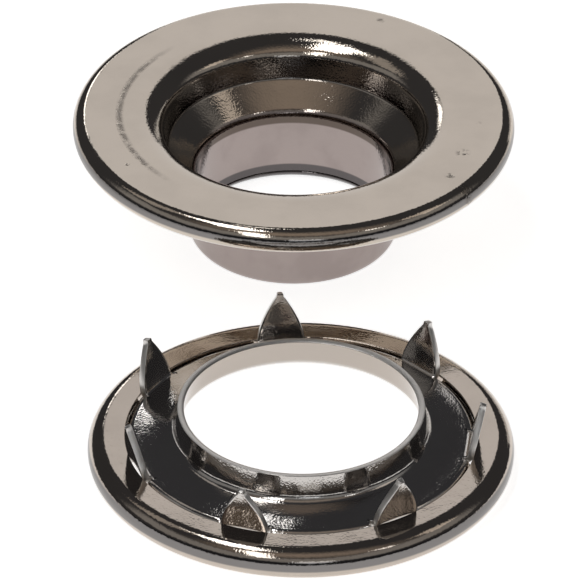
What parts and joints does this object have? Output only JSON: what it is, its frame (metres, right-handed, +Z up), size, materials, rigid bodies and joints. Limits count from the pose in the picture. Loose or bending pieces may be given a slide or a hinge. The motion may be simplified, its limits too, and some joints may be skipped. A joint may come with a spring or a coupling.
{
  "type": "grommet eyelet",
  "caption": "Bright sheet-metal grommet: a rolled-rim eyelet with a short barrel, beside its rolled-rim washer with a raised neck and a ring of teeth.",
  "frame": {"origin": "centre of the pair's footprint, on the surface both halves stand on", "axes": "+Z up along both halves' axes, +Y from the toothed washer to the eyelet, +X to the right as the picture shows them"},
  "size_m": [0.026, 0.0496, 0.0081],
  "materials": {
    "eyelet": "polished nickel plate",
    "rim_ring": "polished nickel plate",
    "spur_ring": "polished nickel plate"
  },
  "bodies": {
    "root": {"eyelet": "eyelet", "rim_ring": "rim_ring", "spur_ring": "spur_ring"}
  },
  "joints": []
}
